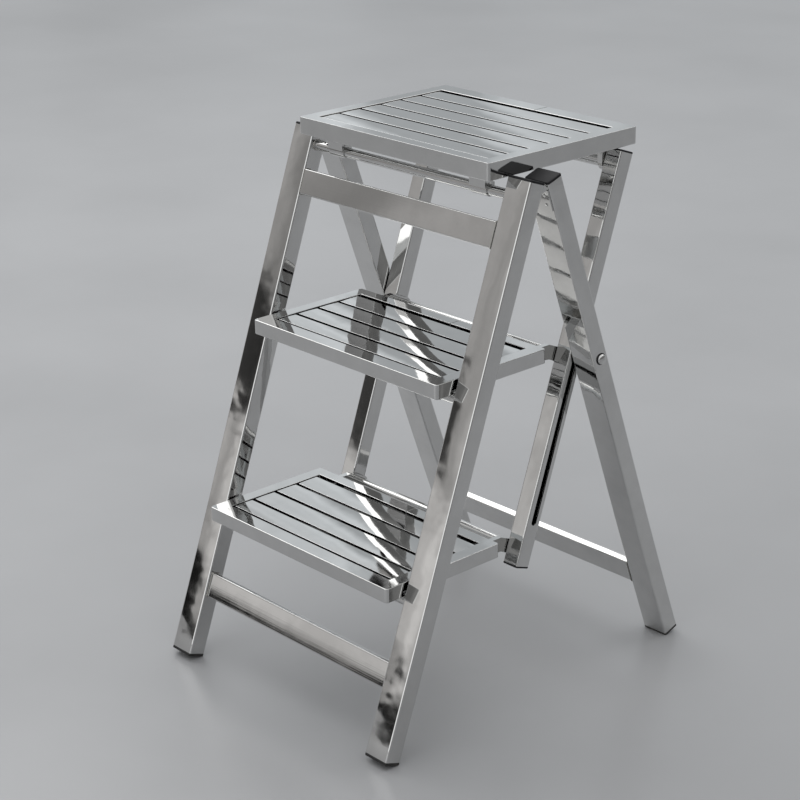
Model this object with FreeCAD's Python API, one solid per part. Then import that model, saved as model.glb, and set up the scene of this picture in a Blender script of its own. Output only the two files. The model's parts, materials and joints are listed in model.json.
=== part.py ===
import FreeCAD, Part
import math
import os

# Folding three-tread step stool, standing open. Millimetres, +Z up, +X to the
# right-hand side, +Y to the back, origin on the floor under the middle of the
# footprint. Front legs, carrier legs and treads form a parallelogram; the rear
# legs hinge at the top of the front legs.

os.makedirs("parts", exist_ok=True)
V = FreeCAD.Vector

# Overall stance
TOP_HEIGHT = 640.0          # floor to the top of the seat
FRONT_LEAN = 19.63          # front legs, degrees from upright, top leaning back
REAR_LEAN = 19.29           # rear legs, degrees from upright, top leaning forward

# Leg tubes of the front and rear frames
LEG_OUT = 194.7             # middle plane to a leg's outer face
LEG_WIDTH = 35.0
LEG_DEPTH = 22.0
LEG_WALL = 1.0
LEG_ROUND = 2.0
FRONT_ABOVE = 21.2          # front leg's end, cap included, above the seat's pivot
REAR_PAST_HINGE = 5.5       # rear leg's end above the hinge axis
CAP_TOP = 2.5               # thickness of the visible part of a top cap
CAP_FOOT = 3.0
CAP_ROUND = 0.8             # edge of a top cap; the feet stay sharp
PLUG = 12.0                 # depth of a cap's plug inside the tube

# Crossbars, flat rectangular tubes
BAR_HEIGHT = 30.2
BAR_DEPTH = 10.0
UPPER_BAR_BELOW = 30.1      # top edge below the seat's pivot, along the leg
LOWER_BAR_UP = 75.3         # lower edge, measured up the leg from its foot
LOWER_BAR_BACK = 3.0        # set back behind the legs' front plane
REAR_BAR_UP = 75.3
REAR_BAR_BACK = 1.0

# Carrier frame, parallel to the front legs
CARRIER_SIDE_GAP = 1.25     # between the carrier and rear legs, side by side
CARRIER_WIDTH = 22.45
CARRIER_DEPTH = 21.0
CARRIER_BELOW = 19.75       # leg's end below the lowest pivot
CARRIER_ABOVE = 15.2        # cap's top above the highest pivot
CARRIER_CAP = 2.0
SLOT_WIDTH = 8.0
SLOT_SPARE_LOW = 27.0       # slot beyond the bolt's lowest place
SLOT_SPARE_TOP = 4.0

# Pivots
PIVOT_DEPTH = 11.0              # front pivots, behind the legs' front plane
CARRIER_PIVOT_DEPTH = 183.8           # rear pivots, behind the same plane
SEAT_DROP = 19.4            # front and rear pivots below the seat's underside
TREAD_DROP = 7.2            # the same under the middle and lower treads
TUBE_R = 6.0                # round cross tubes that the treads turn on
TOP_TUBE_R = 8.7            # stouter tube at the top of the carrier
TUBE_WALL = 1.0
RUN = 0.08                  # radial clearance of every turning fit
EYE_WALL = 1.2              # ring of a front tab, around the tube
LUG_R = 9.0
TOP_LUG_R = 12.0

# Hinge between front and rear legs
HINGE_DEPTH = 25.8              # axis behind the front legs' front plane
HINGE_BELOW = 6.2           # axis below the front leg's end
HINGE_REAR_DISTANCE = 4.3              # axis to the rear legs' front plane
KNUCKLE_R = 3.5
PIN_R = 1.75
LEAF = 1.5
LEAF_LENGTH = 26.0
LEAF_EDGE = 2.5             # leaf stops short of the leg's sides
LEAF_DROP = 4.0             # leaf plate ends this far under the axis
KNUCKLE_GAP = 0.3

# Treads: top height, front edge and rear edge from the pivot, half width,
# thickness, slat count, front rail, rear rail
SEAT_THICK = 20.2
TREAD_THICK = 17.5
SEAT_SIDE_GAP = 4.4         # between the seat's side and the leg beside it
TREAD_SIDE_GAP = 4.1
MIDDLE_TOP = 410.4
LOWER_TOP = 194.1
SIDE_RAIL = 15.4
SEAT_SLATS = 6
TREAD_SLATS = 4
SEAT_FRONT_RAIL = 16.0
TREAD_FRONT_RAIL = 19.7
SEAT_REAR_RAIL = 22.6
TREAD_REAR_RAIL = 15.4
SEAM = 0.5                  # hairline between front rail and first slat
SLAT_GAP = 3.0
REAR_GAP_MORE = 1.6         # the gap before the rear rail is wider by this
SLAT_DROP = 1.3             # slats lie this much under the rails
SHEET = 1.0
CORNER_FRONT = 6.0
CORNER_REAR = 3.0
RAIL_ROUND = 1.5
RAIL_ROUND_LOW = 1.0
SLAT_ROUND = 0.9

# Tabs and lugs under the treads
TAB_INSET = 29.7            # tab's outer side to the leg's inner face
TAB_WIDTH = 25.0
TAB_FRONT = 8.6             # tab's front face ahead of its pivot
TAB_SHEET = 2.5
TAB_LOW = 3.0               # tab's lower edge above the pivot height
TAB_BACK = 6.0              # saddle's rear face behind the pivot
LUG_WIDTH = 7.0
LUG_SIDE_GAP = 0.7
LUG_RISE = 9.8              # lug's top above the tread's underside
LUG_FLAT = 18.5             # lug's straight top edge ends this far before its pivot
LUG_UNDER = 22.0            # length of the lug under the rear rail
LUG_FOOT = 0.8              # lug's lower edge below the pivot height
LUG_CHAMFER = 5.0
CUT_SPARE = 10.0            # how far a cutting block reaches past what it cuts

# Slide bolts of the rear legs, at the carrier's slots
BOLT_DEPTH = 11.0
BOLT_R = 3.0
BOLT_HEAD_R = 6.5
BOLT_HEAD = 3.2
BOLT_TIP_R = 3.8
BOLT_TIP = 0.5

TH = math.radians(FRONT_LEAN)
PS = math.radians(REAR_LEAN)
LEG_IN = LEG_OUT - LEG_WIDTH
CARRIER_OUT = LEG_IN - CARRIER_SIDE_GAP
CARRIER_IN = CARRIER_OUT - CARRIER_WIDTH
SEAT_HALF = LEG_IN - SEAT_SIDE_GAP
TREAD_HALF = LEG_IN - TREAD_SIDE_GAP
TAB_OUT = LEG_IN - TAB_INSET
TAB_IN = TAB_OUT - TAB_WIDTH
FRONT_Z0 = LEG_DEPTH * math.sin(TH)


def front_point(n, v):
    """Depth and height of a point given in the front leg's own directions."""
    y = n * math.cos(TH) + v * math.sin(TH)
    z = FRONT_Z0 - n * math.sin(TH) + v * math.cos(TH)
    return y, z


def front_v(n, z):
    """Distance up the front leg of the point at depth n and height z."""
    return (z - FRONT_Z0 + n * math.sin(TH)) / math.cos(TH)


# Pivot heights and places
SEAT_PIVOT_Z = TOP_HEIGHT - SEAT_THICK - SEAT_DROP
MIDDLE_PIVOT_Z = MIDDLE_TOP - TREAD_THICK - TREAD_DROP
LOWER_PIVOT_Z = LOWER_TOP - TREAD_THICK - TREAD_DROP
SEAT_PIVOT_V = front_v(PIVOT_DEPTH, SEAT_PIVOT_Z)
FRONT_LENGTH = SEAT_PIVOT_V + FRONT_ABOVE
UPPER_BAR_V = SEAT_PIVOT_V - UPPER_BAR_BELOW - BAR_HEIGHT

# Hinge axis, and the rear leg's foot line from it
HINGE_V = FRONT_LENGTH - HINGE_BELOW
HINGE_Y, HINGE_Z = front_point(HINGE_DEPTH, HINGE_V)
REAR_HINGE_V = (HINGE_Z + HINGE_REAR_DISTANCE * math.sin(PS)) / math.cos(PS)
REAR_Y0 = HINGE_Y + HINGE_REAR_DISTANCE * math.cos(PS) + REAR_HINGE_V * math.sin(PS)
REAR_LENGTH = REAR_HINGE_V + REAR_PAST_HINGE
OVERALL_DEPTH = REAR_Y0 + LEG_DEPTH * math.cos(PS)
MIDDLE_Y = OVERALL_DEPTH / 2.0


# Links from front to rear pivots, and the carrier's ends
LINK = (CARRIER_PIVOT_DEPTH - PIVOT_DEPTH) / math.cos(TH)
CARRIER_TOP_V = front_v(CARRIER_PIVOT_DEPTH, SEAT_PIVOT_Z) + CARRIER_ABOVE
CARRIER_LOW_V = front_v(CARRIER_PIVOT_DEPTH, LOWER_PIVOT_Z) - CARRIER_BELOW

# Folded state: the rear legs' bolts and the carrier's slots are then again on
# one line, which fixes how far the treads turn
FOLD_COS = (HINGE_DEPTH + HINGE_REAR_DISTANCE + BOLT_DEPTH - PIVOT_DEPTH) / LINK
FOLD_RISE = LINK * (math.sqrt(1.0 - FOLD_COS ** 2) - math.sin(TH))


def bolt_height():
    """Distance up the rear leg at which its bolt meets the carrier's middle line."""
    lean = TH + PS
    n_hinge = HINGE_REAR_DISTANCE + BOLT_DEPTH
    return REAR_HINGE_V - ((CARRIER_PIVOT_DEPTH - HINGE_DEPTH) - n_hinge * math.cos(lean)) / math.sin(lean)


BOLT_V = bolt_height()
BOLT_DROP = REAR_HINGE_V - BOLT_V
LEAN = TH + PS
SLOT_TOP = HINGE_V + (HINGE_REAR_DISTANCE + BOLT_DEPTH) * math.sin(LEAN) - BOLT_DROP * math.cos(LEAN)
SLOT_LOW = HINGE_V - BOLT_DROP - FOLD_RISE


def block(x0, x1, y0, y1, z0, z1):
    return Part.makeBox(x1 - x0, y1 - y0, z1 - z0, V(x0, y0, z0))


def edges_along(shape, axis, keep=None):
    """Straight edges parallel to an axis, thinned by a test on their middle."""
    found = []
    for e in shape.Edges:
        if len(e.Vertexes) != 2:
            continue
        d = e.Vertexes[1].Point.sub(e.Vertexes[0].Point)
        if d.Length < 1e-6 or d.normalize().cross(axis).Length > 1e-6:
            continue
        if keep is None or keep(e.CenterOfMass):
            found.append(e)
    return found


def mirrored(shape):
    return shape.mirror(V(0, 0, 0), V(1, 0, 0))


def pair(shape):
    return Part.makeCompound([shape, mirrored(shape)])


def on_front(shape):
    """Carry a shape from leg directions (x, n, v) to its place in the stool."""
    s = shape.copy()
    s.Placement = FreeCAD.Placement(
        V(0, -MIDDLE_Y, FRONT_Z0), FreeCAD.Rotation(V(1, 0, 0), -FRONT_LEAN)).multiply(s.Placement)
    return s


def on_rear(shape):
    s = shape.copy()
    s.Placement = FreeCAD.Placement(
        V(0, REAR_Y0 - MIDDLE_Y, 0), FreeCAD.Rotation(V(1, 0, 0), REAR_LEAN)).multiply(s.Placement)
    return s


def save(name, shape):
    shape.exportStep("parts/" + name + ".step")


def square_tube(x0, x1, n0, n1, v0, v1, wall, rnd):
    """Rectangular tube along v with rounded long edges."""
    axis = V(0, 0, 1)
    outer = block(x0, x1, n0, n1, v0, v1)
    outer = outer.makeFillet(rnd, edges_along(outer, axis))
    inner = block(x0 + wall, x1 - wall, n0 + wall, n1 - wall, v0 - 1, v1 + 1)
    inner = inner.makeFillet(rnd - wall * 0.6, edges_along(inner, axis))
    return outer.cut(inner)


def plug_cap(x0, x1, n0, n1, v_tube, v_face, wall, rnd):
    """Plastic end cap: a face as large as the tube and a plug inside it."""
    axis = V(0, 0, 1)
    face = block(x0, x1, n0, n1, min(v_tube, v_face), max(v_tube, v_face))
    face = face.makeFillet(rnd, edges_along(face, axis))
    if v_face > v_tube:
        rim = [e for e in face.Edges if abs(e.CenterOfMass.z - v_face) < 1e-6]
        face = face.makeFillet(CAP_ROUND, rim)
    inward = -1.0 if v_face > v_tube else 1.0
    v_end = v_tube + inward * PLUG
    plug = block(x0 + wall, x1 - wall, n0 + wall, n1 - wall, min(v_tube, v_end), max(v_tube, v_end))
    plug = plug.makeFillet(rnd - wall * 0.6, edges_along(plug, axis))
    return face.fuse(plug).removeSplitter()


def flat_bar(half, n0, v0):
    """Crossbar tube between two inner leg faces."""
    outer = block(-half, half, n0, n0 + BAR_DEPTH, v0, v0 + BAR_HEIGHT)
    outer = outer.makeFillet(1.5, edges_along(outer, V(1, 0, 0)))
    inner = block(-half - 1, half + 1, n0 + LEG_WALL, n0 + BAR_DEPTH - LEG_WALL,
                  v0 + LEG_WALL, v0 + BAR_HEIGHT - LEG_WALL)
    return outer.cut(inner)


def round_tube(half, n, v, r):
    outer = Part.makeCylinder(r, 2 * half, V(-half, n, v), V(1, 0, 0))
    bore = Part.makeCylinder(r - TUBE_WALL, 2 * half + 2, V(-half - 1, n, v), V(1, 0, 0))
    return outer.cut(bore)


# Front frame ---------------------------------------------------------------
front_leg = square_tube(LEG_IN, LEG_OUT, 0, LEG_DEPTH, CAP_FOOT, FRONT_LENGTH - CAP_TOP,
                        LEG_WALL, LEG_ROUND)
save("front_leg_right", on_front(front_leg))
save("front_leg_left", on_front(mirrored(front_leg)))
save("front_top_caps", on_front(pair(plug_cap(
    LEG_IN, LEG_OUT, 0, LEG_DEPTH, FRONT_LENGTH - CAP_TOP, FRONT_LENGTH, LEG_WALL, LEG_ROUND))))
save("front_foot_caps", on_front(pair(plug_cap(
    LEG_IN, LEG_OUT, 0, LEG_DEPTH, CAP_FOOT, 0.0, LEG_WALL, LEG_ROUND))))
save("front_upper_crossbar", on_front(flat_bar(LEG_IN, 0.0, UPPER_BAR_V)))
save("front_lower_crossbar", on_front(flat_bar(LEG_IN, LOWER_BAR_BACK, LOWER_BAR_UP)))
for name, height in (("seat", SEAT_PIVOT_Z), ("middle", MIDDLE_PIVOT_Z), ("lower", LOWER_PIVOT_Z)):
    save(name + "_hinge_tube",
         on_front(round_tube(LEG_IN, PIVOT_DEPTH, front_v(PIVOT_DEPTH, height), TUBE_R)))

# Hinges between the front and rear legs --------------------------------------
LEAF_X0 = LEG_IN + LEAF_EDGE
LEAF_X1 = LEG_OUT - LEAF_EDGE
LEAF_W = LEAF_X1 - LEAF_X0
MID_X0 = LEAF_X0 + LEAF_W * 0.32
MID_X1 = LEAF_X1 - LEAF_W * 0.32


def knuckle(x0, x1, n, v, bore):
    body = Part.makeCylinder(KNUCKLE_R, x1 - x0, V(x0, n, v), V(1, 0, 0))
    return body, Part.makeCylinder(bore, x1 - x0 + 2, V(x0 - 1, n, v), V(1, 0, 0))


def front_leaf():
    plate = block(LEAF_X0, LEAF_X1, LEG_DEPTH, LEG_DEPTH + LEAF,
                  HINGE_V - LEAF_DROP - LEAF_LENGTH, HINGE_V - LEAF_DROP)
    shape = plate
    for x0, x1 in ((LEAF_X0, MID_X0 - KNUCKLE_GAP), (MID_X1 + KNUCKLE_GAP, LEAF_X1)):
        body, bore = knuckle(x0, x1, HINGE_DEPTH, HINGE_V, PIN_R)
        web = block(x0, x1, LEG_DEPTH, HINGE_DEPTH, HINGE_V - LEAF_DROP - 0.5, HINGE_V)
        shape = shape.fuse(web).fuse(body).cut(bore)
    return shape.removeSplitter()


def rear_leaf():
    plate = block(LEAF_X0, LEAF_X1, -LEAF, 0.0,
                  REAR_HINGE_V - LEAF_DROP - LEAF_LENGTH, REAR_HINGE_V - LEAF_DROP)
    body, bore = knuckle(MID_X0, MID_X1, -HINGE_REAR_DISTANCE, REAR_HINGE_V, PIN_R + RUN)
    web = block(MID_X0, MID_X1, -HINGE_REAR_DISTANCE, 0.0, REAR_HINGE_V - LEAF_DROP - 0.5, REAR_HINGE_V)
    return plate.fuse(web).fuse(body).cut(bore).removeSplitter()


save("front_hinge_leaves", on_front(pair(front_leaf())))
save("hinge_pins", on_front(pair(Part.makeCylinder(
    PIN_R, LEAF_W, V(LEAF_X0, HINGE_DEPTH, HINGE_V), V(1, 0, 0)))))
save("rear_hinge_leaves", on_rear(pair(rear_leaf())))

# Rear frame ------------------------------------------------------------------
rear_leg = square_tube(LEG_IN, LEG_OUT, 0, LEG_DEPTH, CAP_FOOT, REAR_LENGTH - CAP_TOP,
                       LEG_WALL, LEG_ROUND)
bolt_hole = Part.makeCylinder(BOLT_R, LEG_WIDTH + 2, V(LEG_IN - 1, BOLT_DEPTH, BOLT_V), V(1, 0, 0))
rear_leg = rear_leg.cut(bolt_hole)
save("rear_leg_right", on_rear(rear_leg))
save("rear_leg_left", on_rear(mirrored(rear_leg)))
save("rear_top_caps", on_rear(pair(plug_cap(
    LEG_IN, LEG_OUT, 0, LEG_DEPTH, REAR_LENGTH - CAP_TOP, REAR_LENGTH, LEG_WALL, LEG_ROUND))))
save("rear_foot_caps", on_rear(pair(plug_cap(
    LEG_IN, LEG_OUT, 0, LEG_DEPTH, CAP_FOOT, 0.0, LEG_WALL, LEG_ROUND))))
save("rear_lower_crossbar", on_rear(flat_bar(LEG_IN, REAR_BAR_BACK, REAR_BAR_UP)))


def slide_bolt():
    shank = Part.makeCylinder(BOLT_R, LEG_WIDTH, V(LEG_IN, BOLT_DEPTH, BOLT_V), V(1, 0, 0))
    tip = Part.makeCylinder(BOLT_TIP_R, BOLT_TIP, V(LEG_IN - BOLT_TIP, BOLT_DEPTH, BOLT_V), V(1, 0, 0))
    head = Part.makeCylinder(BOLT_HEAD_R, BOLT_HEAD, V(LEG_OUT, BOLT_DEPTH, BOLT_V), V(1, 0, 0))
    rim = [e for e in head.Edges if abs(e.CenterOfMass.x - LEG_OUT - BOLT_HEAD) < 1e-6]
    head = head.makeFillet(2.0, rim)
    return shank.fuse(tip).fuse(head).removeSplitter()


save("slide_bolts", on_rear(pair(slide_bolt())))

# Carrier frame -----------------------------------------------------------------
CAR_N0 = CARRIER_PIVOT_DEPTH - CARRIER_DEPTH / 2
CAR_N1 = CARRIER_PIVOT_DEPTH + CARRIER_DEPTH / 2
carrier_leg = square_tube(CARRIER_IN, CARRIER_OUT, CAR_N0, CAR_N1,
                          CARRIER_LOW_V + CARRIER_CAP, CARRIER_TOP_V - CARRIER_CAP,
                          LEG_WALL, LEG_ROUND)
slot_low = SLOT_LOW - SLOT_SPARE_LOW + SLOT_WIDTH / 2
slot_top = SLOT_TOP + SLOT_SPARE_TOP - SLOT_WIDTH / 2
cut_x = CARRIER_OUT - LEG_WALL - 0.5
slot = block(cut_x, CARRIER_OUT + 1, CARRIER_PIVOT_DEPTH - SLOT_WIDTH / 2, CARRIER_PIVOT_DEPTH + SLOT_WIDTH / 2,
             slot_low, slot_top)
for v_end in (slot_low, slot_top):
    slot = slot.fuse(Part.makeCylinder(
        SLOT_WIDTH / 2, CARRIER_OUT + 1 - cut_x, V(cut_x, CARRIER_PIVOT_DEPTH, v_end), V(1, 0, 0)))
carrier_leg = carrier_leg.cut(slot.removeSplitter())
save("carrier_leg_right", on_front(carrier_leg))
save("carrier_leg_left", on_front(mirrored(carrier_leg)))
save("carrier_top_caps", on_front(pair(plug_cap(
    CARRIER_IN, CARRIER_OUT, CAR_N0, CAR_N1, CARRIER_TOP_V - CARRIER_CAP, CARRIER_TOP_V,
    LEG_WALL, LEG_ROUND))))
save("carrier_bottom_caps", on_front(pair(plug_cap(
    CARRIER_IN, CARRIER_OUT, CAR_N0, CAR_N1, CARRIER_LOW_V + CARRIER_CAP, CARRIER_LOW_V,
    LEG_WALL, LEG_ROUND))))
for name, height, radius in (("top", SEAT_PIVOT_Z, TOP_TUBE_R), ("middle", MIDDLE_PIVOT_Z, TUBE_R),
                             ("lower", LOWER_PIVOT_Z, TUBE_R)):
    save("carrier_" + name + "_tube",
         on_front(round_tube(CARRIER_IN, CARRIER_PIVOT_DEPTH, front_v(CARRIER_PIVOT_DEPTH, height), radius)))


# Treads ------------------------------------------------------------------------
def rounded_plate(half, y0, y1, z0, z1, r_front, r_rear, r_top, r_low):
    """Flat block with rounded corners and edges."""
    up = V(0, 0, 1)
    middle = (y0 + y1) / 2
    s = block(-half, half, y0, y1, z0, z1)
    s = s.makeFillet(r_front, edges_along(s, up, lambda c: c.y < middle))
    s = s.makeFillet(r_rear, [e for e in edges_along(s, up, lambda c: c.y > middle)
                              if abs(abs(e.CenterOfMass.x) - half) < 1e-6
                              and abs(e.CenterOfMass.y - y1) < 1e-6])
    s = s.makeFillet(r_top, [e for e in s.Edges if all(abs(p.Z - z1) < 1e-6 for p in e.Vertexes)])
    if r_low > 0:
        s = s.makeFillet(r_low, [e for e in s.Edges if all(abs(p.Z - z0) < 1e-6 for p in e.Vertexes)])
    return s


def tread(prefix, half, z0, thick, slats, pivot, pivot_z, y_front, y_rear, seat):
    """Rails, slats, front tabs and rear lugs of one tread with its underside at z0."""
    z1 = z0 + thick
    open_x = half - SIDE_RAIL
    open_y0 = y_front + (SEAT_FRONT_RAIL if seat else TREAD_FRONT_RAIL)
    open_y1 = y_rear - (SEAT_REAR_RAIL if seat else TREAD_REAR_RAIL)

    rim = rounded_plate(half, y_front, y_rear, z0, z1, CORNER_FRONT, CORNER_REAR,
                        RAIL_ROUND, RAIL_ROUND_LOW)
    rim = rim.cut(block(-open_x, open_x, open_y0, open_y1, z0 - 1, z1 + 1))
    hollow = rounded_plate(half - SHEET, y_front + SHEET, y_rear - SHEET, z0 + SHEET, z1 - SHEET,
                           CORNER_FRONT - SHEET, CORNER_REAR - SHEET, RAIL_ROUND - SHEET, 0)
    hollow = hollow.cut(block(-open_x - SHEET, open_x + SHEET, open_y0 - SHEET, open_y1 + SHEET,
                              z0, z1))
    rim = rim.cut(hollow)
    far = half + CUT_SPARE
    low = z0 - CUT_SPARE
    high = z1 + CUT_SPARE
    save(prefix + "_front_rail", rim.common(block(-far, far, y_front - CUT_SPARE, open_y0, low, high)))
    save(prefix + "_rear_rail", rim.common(block(-far, far, open_y1, y_rear + CUT_SPARE, low, high)))
    save(prefix + "_left_rail", rim.common(block(-far, 0, open_y0, open_y1, low, high)))
    save(prefix + "_right_rail", rim.common(block(0, far, open_y0, open_y1, low, high)))

    start = open_y0 + SEAM
    pitch = (open_y1 - REAR_GAP_MORE - start) / slats
    width = pitch - SLAT_GAP
    top = z1 - SLAT_DROP
    for i in range(slats):
        y = start + i * pitch
        bar = block(-open_x, open_x, y, y + width, z0, top)
        bar = bar.makeFillet(SLAT_ROUND, edges_along(bar, V(1, 0, 0), lambda c: c.z > z0 + 1))
        inner = block(-open_x - 1, open_x + 1, y + SHEET, y + width - SHEET, z0 + SHEET, top - SHEET)
        save(prefix + "_slat_" + str(i + 1), bar.cut(inner))

    # Front tab: a plate before the tube, a saddle over it and a thin ring around it
    eye_in = TUBE_R + RUN
    along = V(1, 0, 0)
    saddle_top = min(pivot_z + TAB_FRONT, z0)
    plate = block(TAB_IN, TAB_OUT, pivot - TAB_FRONT, pivot - TAB_FRONT + TAB_SHEET, pivot_z + TAB_LOW, z0)
    saddle = block(TAB_IN, TAB_OUT, pivot - TAB_FRONT, pivot + TAB_BACK, pivot_z + TAB_LOW, saddle_top)
    eye = Part.makeCylinder(eye_in + EYE_WALL, TAB_OUT - TAB_IN, V(TAB_IN, pivot, pivot_z), along)
    eye = eye.cut(block(TAB_IN - 1, TAB_OUT + 1, pivot - CUT_SPARE, pivot + CUT_SPARE, z0, z1))
    bore = Part.makeCylinder(eye_in, TAB_OUT - TAB_IN + 2, V(TAB_IN - 1, pivot, pivot_z), along)
    tab = saddle.fuse(plate).fuse(eye).cut(bore).removeSplitter()
    save(prefix + "_front_tabs", pair(tab))

    x1 = CARRIER_IN - LUG_SIDE_GAP
    x0 = x1 - LUG_WIDTH
    rear_pivot = pivot + LINK
    if seat:
        r_out = TOP_LUG_R
        r_in = TOP_TUBE_R + RUN
        arm = block(x0, x1, rear_pivot - r_out, rear_pivot + r_out, pivot_z, z0)
    else:
        r_out = LUG_R
        r_in = TUBE_R + RUN
        top_z = z0 + LUG_RISE
        low_z = pivot_z - LUG_FOOT
        pts = [(y_rear - LUG_UNDER, low_z + LUG_CHAMFER), (y_rear - LUG_UNDER, z0), (y_rear, z0),
               (y_rear, top_z), (rear_pivot - LUG_FLAT, top_z),
               (rear_pivot + r_out * 0.6, pivot_z + r_out * 0.8),
               (rear_pivot - r_out * 0.3, pivot_z - r_out * 0.95), (rear_pivot - LUG_FLAT, low_z)]
        wire = Part.makePolygon([V(x0, y, z) for y, z in pts + pts[:1]])
        arm = Part.Face(wire).extrude(V(LUG_WIDTH, 0, 0))
    ring = Part.makeCylinder(r_out, LUG_WIDTH, V(x0, rear_pivot, pivot_z), along)
    bore = Part.makeCylinder(r_in, LUG_WIDTH + 2, V(x0 - 1, rear_pivot, pivot_z), along)
    save(prefix + "_rear_lugs", pair(arm.fuse(ring).cut(bore).removeSplitter()))


def pivot_y(height):
    return front_point(PIVOT_DEPTH, front_v(PIVOT_DEPTH, height))[0] - MIDDLE_Y


# Front and rear edges measured from each tread's own pivot
SEAT_AHEAD = 29.6
SEAT_BEHIND = 205.2
TREAD_AHEAD = 31.9
MIDDLE_BEHIND = 137.1
LOWER_BEHIND = 140.5

y_seat = pivot_y(SEAT_PIVOT_Z)
y_middle = pivot_y(MIDDLE_PIVOT_Z)
y_lower = pivot_y(LOWER_PIVOT_Z)
tread("seat", SEAT_HALF, TOP_HEIGHT - SEAT_THICK, SEAT_THICK, SEAT_SLATS, y_seat, SEAT_PIVOT_Z,
      y_seat - SEAT_AHEAD, y_seat + SEAT_BEHIND, True)
tread("middle", TREAD_HALF, MIDDLE_TOP - TREAD_THICK, TREAD_THICK, TREAD_SLATS, y_middle, MIDDLE_PIVOT_Z,
      y_middle - TREAD_AHEAD, y_middle + MIDDLE_BEHIND, False)
tread("lower", TREAD_HALF, LOWER_TOP - TREAD_THICK, TREAD_THICK, TREAD_SLATS, y_lower, LOWER_PIVOT_Z,
      y_lower - TREAD_AHEAD, y_lower + LOWER_BEHIND, False)
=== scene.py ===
import json
import math

import bpy
import numpy as np
from bpy.props import FloatProperty, FloatVectorProperty, IntProperty, PointerProperty
from mathutils import Matrix, Vector


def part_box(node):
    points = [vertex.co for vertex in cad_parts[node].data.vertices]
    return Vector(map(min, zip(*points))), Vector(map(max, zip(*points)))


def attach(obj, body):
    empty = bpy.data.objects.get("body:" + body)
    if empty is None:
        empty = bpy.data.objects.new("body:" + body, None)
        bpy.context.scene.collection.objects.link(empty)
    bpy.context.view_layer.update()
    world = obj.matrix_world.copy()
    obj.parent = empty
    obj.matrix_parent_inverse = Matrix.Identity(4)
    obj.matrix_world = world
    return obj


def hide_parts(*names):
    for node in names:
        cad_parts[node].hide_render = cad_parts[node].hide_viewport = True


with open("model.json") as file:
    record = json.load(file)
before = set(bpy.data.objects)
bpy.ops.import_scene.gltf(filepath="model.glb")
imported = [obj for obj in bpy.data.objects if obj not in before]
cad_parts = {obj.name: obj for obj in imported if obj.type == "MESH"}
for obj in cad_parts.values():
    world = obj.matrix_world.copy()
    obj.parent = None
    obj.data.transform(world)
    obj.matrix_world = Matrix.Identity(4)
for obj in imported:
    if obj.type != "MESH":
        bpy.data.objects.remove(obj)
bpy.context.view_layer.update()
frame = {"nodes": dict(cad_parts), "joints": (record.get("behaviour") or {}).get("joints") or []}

bl_info = {
    "name": "Folding step stool",
    "version": (1, 0, 0),
    "blender": (4, 5, 0),
    "location": "3D View > Sidebar > Stool",
    "description": "Dresses the packed frame of a folding, slatted, mirror-polished step stool",
    "category": "Add Mesh",
}

JOINTS = {j["name"]: j for j in frame["joints"]}


# ---- sizes and colours ------------------------------------------------------

def length(name, description, default):
    """Property for a length in metres."""
    return FloatProperty(name=name, description=description, default=default, min=0.0,
                         subtype="DISTANCE", unit="LENGTH", precision=5)


def angle(name, description, degrees):
    """Property for an angle, given in degrees and kept in radians."""
    return FloatProperty(name=name, description=description, default=math.radians(degrees),
                         subtype="ANGLE", unit="ROTATION")


def linear(hex_colour):
    """sRGB hex to linear red, green and blue."""
    c = np.array([int(hex_colour[i:i + 2], 16) for i in (1, 3, 5)], float) / 255.0
    return tuple(np.where(c <= 0.04045, c / 12.92, ((c + 0.055) / 1.055) ** 2.4))


def colour(name, description, hex_colour):
    """Property for a colour, given as sRGB hex and kept linear."""
    return FloatVectorProperty(name=name, description=description, default=linear(hex_colour),
                               size=3, min=0.0, max=1.0, subtype="COLOR")


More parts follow.
